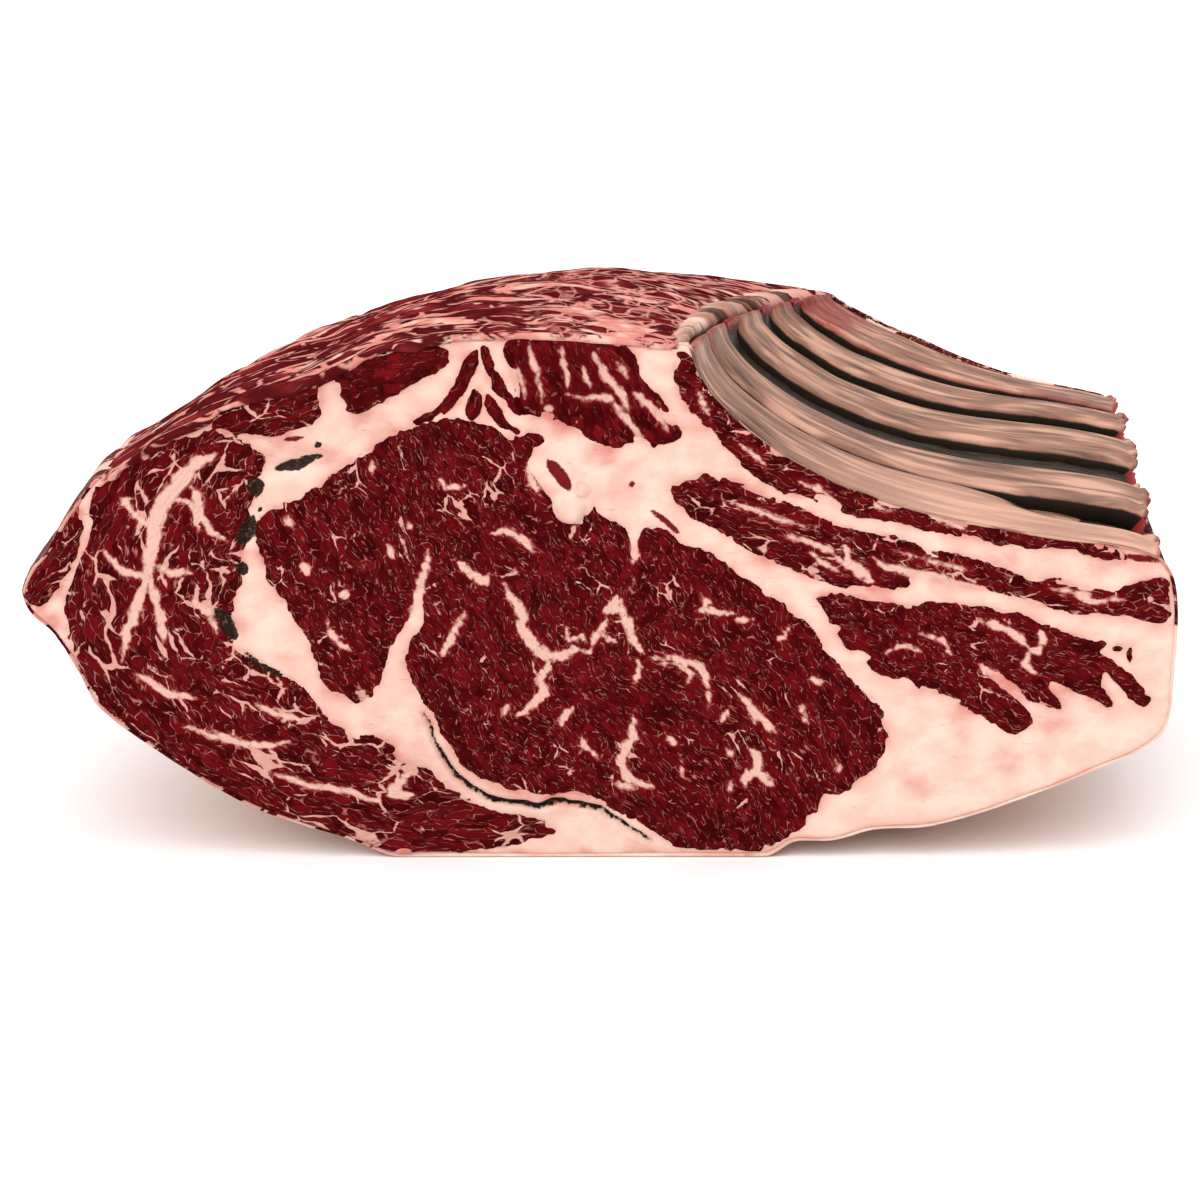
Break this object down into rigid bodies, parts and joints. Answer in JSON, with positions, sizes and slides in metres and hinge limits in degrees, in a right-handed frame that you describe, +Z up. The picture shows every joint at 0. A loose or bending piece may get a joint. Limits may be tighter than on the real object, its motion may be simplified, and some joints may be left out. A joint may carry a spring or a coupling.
{
  "type": "beef rib roast",
  "caption": "Raw bone-in beef rib roast lying on its fat side: marbled lean and white fat at both cuts, curved ribs with dark grooves on top right.",
  "frame": {"origin": "centre of the bounding box on the plane the roast rests on", "axes": "+X along the long side towards the rib ends, +Y back from the front cut to the back cut, +Z up"},
  "size_m": [0.332, 0.18, 0.1566],
  "materials": {
    "fat": "smooth pale fat, slightly moist",
    "lean": "moist dark red lean with fine fat marbling",
    "bone": "tan rib bone under thin membrane",
    "groove": "dark dry tissue between the ribs"
  },
  "bodies": {
    "root": {"fat_body": "fat", "eye_muscle": "lean", "cap_muscle": "lean", "tip_muscle": "lean", "shoulder_muscle_1": "lean", "shoulder_muscle_2": "lean", "seam_sliver_1": "lean", "seam_sliver_2": "lean", "seam_sliver_3": "lean", "seam_sliver_4": "lean", "top_muscle": "lean", "top_layer": "lean", "rib_strip_front": "lean", "rib_strip_back": "lean", "middle_strip": "lean", "flank_muscle": "lean", "flank_spot_1": "lean", "flank_spot_2": "lean", "rib_1": "bone", "rib_2": "bone", "rib_3": "bone", "rib_4": "bone", "rib_5": "bone", "groove_strap_1": "groove", "groove_strap_2": "groove", "groove_strap_3": "groove", "groove_strap_4": "groove"}
  },
  "joints": []
}
